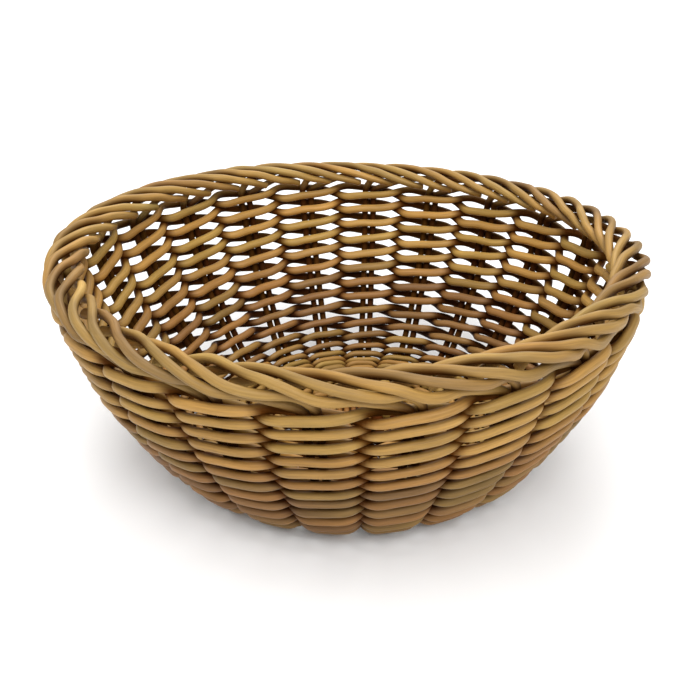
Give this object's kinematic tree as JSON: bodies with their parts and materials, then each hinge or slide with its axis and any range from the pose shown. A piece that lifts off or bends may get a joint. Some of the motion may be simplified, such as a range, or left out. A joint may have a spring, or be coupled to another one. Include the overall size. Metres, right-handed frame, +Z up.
{
  "type": "bread basket",
  "caption": "Round open woven basket for bread, with a twined base and wall on paired stakes and a rolled openwork border round the rim.",
  "frame": {"origin": "centre of the foot, on the surface the basket stands on", "axes": "+Z up, out of the open top; +X along the base sticks that lie underneath at the cross"},
  "size_m": [0.2806, 0.2806, 0.1092],
  "materials": {
    "base_sticks": "matte, fine lengthwise grain",
    "weavers": "matte with soft highlights, fine lengthwise grain, colour varies from strand to strand",
    "stakes": "matte with soft highlights, fine lengthwise grain, lighter tan"
  },
  "bodies": {
    "root": {"base_stick_01": "base_sticks", "base_stick_02": "base_sticks", "base_stick_03": "base_sticks", "base_stick_04": "base_sticks", "base_stick_05": "base_sticks", "base_stick_06": "base_sticks", "base_stick_07": "base_sticks", "base_stick_08": "base_sticks", "base_stick_09": "base_sticks", "base_stick_10": "base_sticks", "base_stick_11": "base_sticks", "base_tie_row_01": "weavers", "base_tie_row_02": "weavers", "base_row_01": "weavers", "base_row_02": "weavers", "base_row_03": "weavers", "base_row_04": "weavers", "base_row_05": "weavers", "base_row_06": "weavers", "base_row_07": "weavers", "wall_row_01": "weavers", "wall_row_02": "weavers", "wall_row_03": "weavers", "wall_row_04": "weavers", "wall_row_05": "weavers", "wall_row_06": "weavers", "wall_row_07": "weavers", "wall_row_08": "weavers", "wall_row_09": "weavers", "wall_row_10": "weavers", "wall_row_11": "weavers", "wall_row_12": "weavers", "stake_pair_01": "stakes", "stake_pair_02": "stakes", "stake_pair_03": "stakes", "stake_pair_04": "stakes", "stake_pair_05": "stakes", "stake_pair_06": "stakes", "stake_pair_07": "stakes", "stake_pair_08": "stakes", "stake_pair_09": "stakes", "stake_pair_10": "stakes", "stake_pair_11": "stakes", "stake_pair_12": "stakes", "stake_pair_13": "stakes", "stake_pair_14": "stakes", "stake_pair_15": "stakes", "stake_pair_16": "stakes", "stake_pair_17": "stakes", "stake_pair_18": "stakes", "stake_pair_19": "stakes", "stake_pair_20": "stakes", "stake_pair_21": "stakes", "stake_pair_22": "stakes"}
  },
  "joints": []
}
